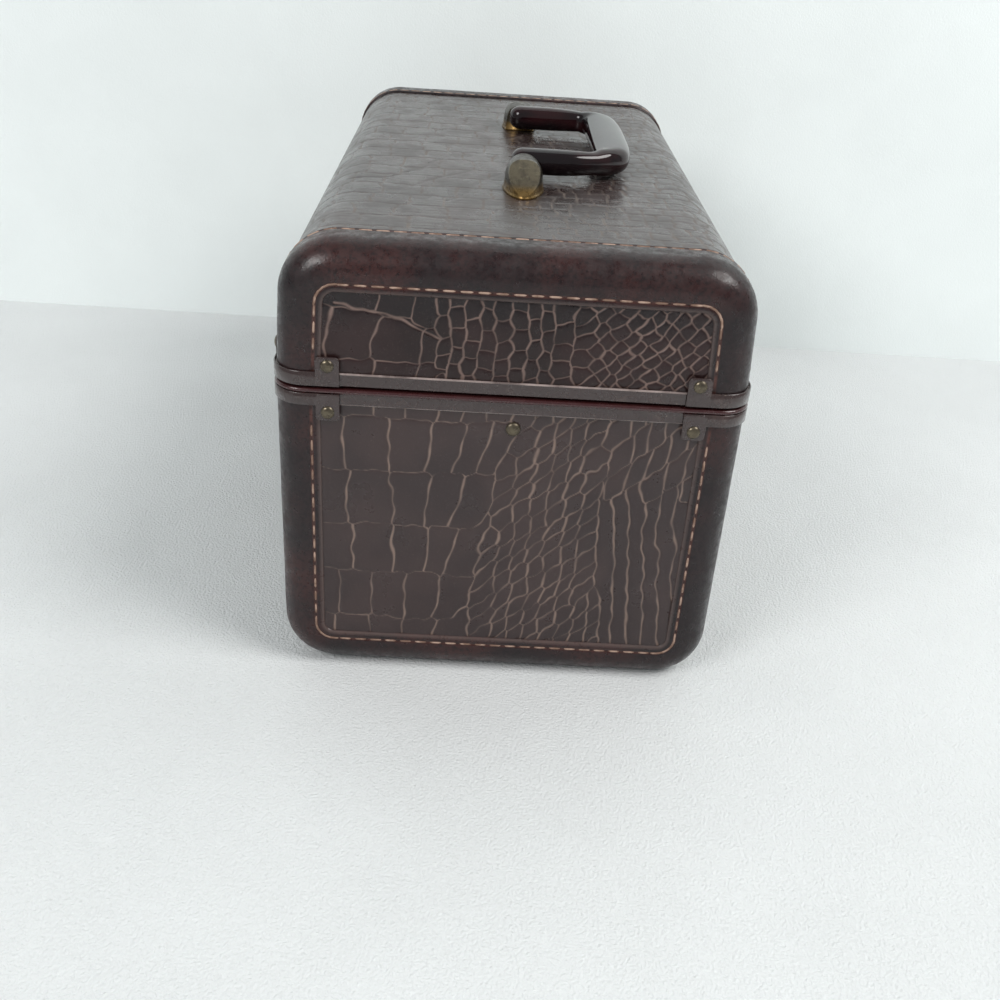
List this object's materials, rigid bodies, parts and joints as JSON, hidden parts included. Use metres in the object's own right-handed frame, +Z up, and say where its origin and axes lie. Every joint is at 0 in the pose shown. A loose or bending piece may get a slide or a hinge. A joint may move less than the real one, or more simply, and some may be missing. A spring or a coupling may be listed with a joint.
{
  "type": "cosmetic train case",
  "caption": "Hard oblong cosmetic case with a hinged lid, drop-over hasps, slotted lid stays, folding top handle, mirror and lift-out tray.",
  "frame": {"origin": "centre of the case's footprint on the surface it stands on", "axes": "+Z up, X along the case, hinges on the +Y side and hasps on the -Y side"},
  "size_m": [0.3714, 0.2215, 0.2308],
  "materials": {
    "croc": "reptile-grain covering, glossy, dark brown",
    "binding": "smooth oxblood brown leather, worn satin",
    "rim": "brown enamel, satin",
    "brass": "antique, dull",
    "steel": "nickel-plated, worn",
    "resin": "polished oxblood resin",
    "board": "thin plywood",
    "lining": "satin cloth, dusty rose",
    "tray": "paper-covered board, dusty rose",
    "mirror": "silvered glass"
  },
  "bodies": {
    "base": {"base_box": "board", "base_covering": "croc", "base_lining": "lining", "base_rim": "rim", "base_end_panel_left": "croc", "base_end_panel_right": "croc", "base_binding_left": "binding", "base_binding_right": "binding", "stay_stud_left": "brass", "stay_stud_right": "brass", "base_clip_front_left": "rim", "base_clip_front_right": "rim", "base_clip_back_left": "rim", "base_clip_back_right": "rim", "tray_cleat_front": "board", "tray_cleat_back": "board", "base_hinge_leaf_left": "steel", "base_hinge_leaf_right": "steel", "hinge_pin_left": "steel", "hinge_pin_right": "steel", "lock_plate_left": "brass", "lock_plate_right": "brass"},
    "lid": {"lid_box": "board", "lid_covering": "croc", "lid_lining": "lining", "lid_rim": "rim", "mirror_frame": "rim", "mirror": "mirror", "lid_end_panel_left": "croc", "lid_end_panel_right": "croc", "lid_binding_left": "binding", "lid_binding_right": "binding", "stay_bracket_left": "steel", "stay_bracket_right": "steel", "lid_clip_front_left": "rim", "lid_clip_front_right": "rim", "lid_clip_back_left": "rim", "lid_clip_back_right": "rim", "lid_hinge_leaf_left": "steel", "lid_hinge_leaf_right": "steel", "hasp_plate_left": "brass", "hasp_plate_right": "brass", "hasp_pin_left": "brass", "hasp_pin_right": "brass", "handle_post_left": "brass", "handle_post_right": "brass", "handle_pin_left": "steel", "handle_pin_right": "steel"},
    "handle": {"handle": "resin"},
    "hasp_left": {"hasp_left": "brass"},
    "hasp_right": {"hasp_right": "brass"},
    "slide_left": {"lock_slide_left": "brass"},
    "slide_right": {"lock_slide_right": "brass"},
    "stay_left": {"stay_bar_left": "steel"},
    "stay_right": {"stay_bar_right": "steel"},
    "tray": {"tray": "tray"}
  },
  "joints": [
    {"name": "lid_hinge", "type": "hinge", "parent": "base", "child": "lid", "pos_m": [0, 0.1084, 0.152], "axis": [-1, 0, 0], "range_deg": [0, 85]},
    {"name": "handle_swing", "type": "hinge", "parent": "lid", "child": "handle", "pos_m": [0, 0.0018, 0.2237], "axis": [1, 0, 0], "range_deg": [0, 180]},
    {"name": "hasp_left_swing", "type": "hinge", "parent": "lid", "child": "hasp_left", "pos_m": [-0.095, -0.1081, 0.165], "axis": [-1, 0, 0], "range_deg": [0, 110]},
    {"name": "hasp_right_swing", "type": "hinge", "parent": "lid", "child": "hasp_right", "pos_m": [0.095, -0.1081, 0.165], "axis": [-1, 0, 0], "range_deg": [0, 110]},
    {"name": "lock_left_slide", "type": "slide", "parent": "base", "child": "slide_left", "axis": [-1, 0, 0], "range_m": [0, 0.004], "stiffness_N_per_m": 200, "springref_m": -0.002},
    {"name": "lock_right_slide", "type": "slide", "parent": "base", "child": "slide_right", "axis": [1, 0, 0], "range_m": [0, 0.004], "stiffness_N_per_m": 200, "springref_m": -0.002},
    {"name": "stay_left_swing", "type": "hinge", "parent": "lid", "child": "stay_left", "pos_m": [-0.1707, 0.01175, 0.2015], "axis": [1, 0, 0], "range_deg": [0, 42.5]},
    {"name": "stay_right_swing", "type": "hinge", "parent": "lid", "child": "stay_right", "pos_m": [0.1707, 0.01175, 0.2015], "axis": [1, 0, 0], "range_deg": [0, 42.5]},
    {"name": "tray_lift", "type": "slide", "parent": "base", "child": "tray", "axis": [0, 0, 1], "range_m": [0, 0.035]}
  ],
  "couplings": [
    {"joint": "stay_left_swing", "follows": "lid_hinge", "ratio": 0.5},
    {"joint": "stay_right_swing", "follows": "lid_hinge", "ratio": 0.5}
  ]
}
